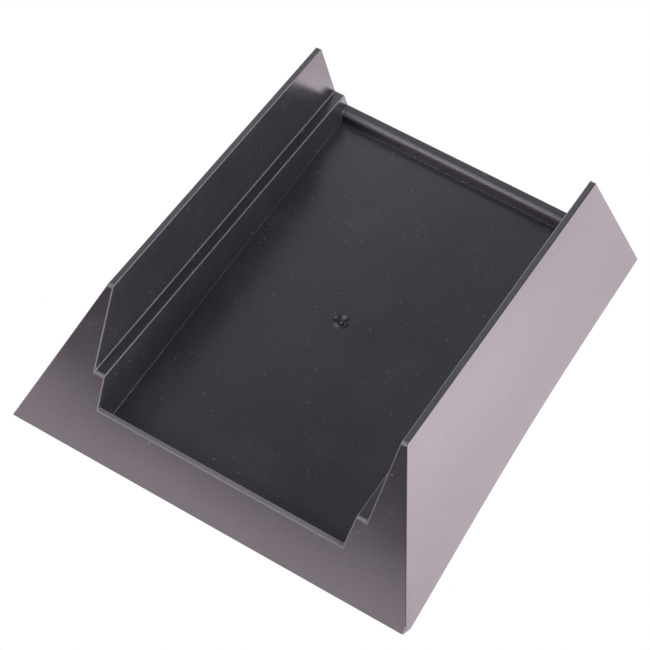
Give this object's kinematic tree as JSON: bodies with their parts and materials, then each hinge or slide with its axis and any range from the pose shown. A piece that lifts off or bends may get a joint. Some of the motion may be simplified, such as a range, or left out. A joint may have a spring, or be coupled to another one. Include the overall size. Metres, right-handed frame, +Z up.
{
  "type": "paint roller tray",
  "caption": "Small wedge-shaped moulded tray with a flat well between tall flared side walls, a stepped front notch, low lip and low rear rim.",
  "frame": {"origin": "centre of the footprint, on the surface the tray stands on", "axes": "+Z up; front apron faces -Y; +X to the right when seen from the front"},
  "size_m": [0.1662, 0.1864, 0.0616],
  "materials": {
    "outer_shell": "satin charcoal moulded plastic, fine handling scratches and dust",
    "well": "satin charcoal moulded plastic, fine scuffs and dust"
  },
  "bodies": {
    "root": {"front_apron": "outer_shell", "rear_skirt": "outer_shell", "left_outer_wall": "outer_shell", "right_outer_wall": "outer_shell", "left_wall_top": "outer_shell", "right_wall_top": "outer_shell", "front_lip": "outer_shell", "rear_rim": "outer_shell", "floor_pan": "well", "well_front_wall": "well", "well_rear_wall": "well", "left_lower_wall": "well", "right_lower_wall": "well", "left_ledge": "well", "right_ledge": "well", "left_inner_wall": "well", "right_inner_wall": "well", "gate_stub": "well"}
  },
  "joints": []
}
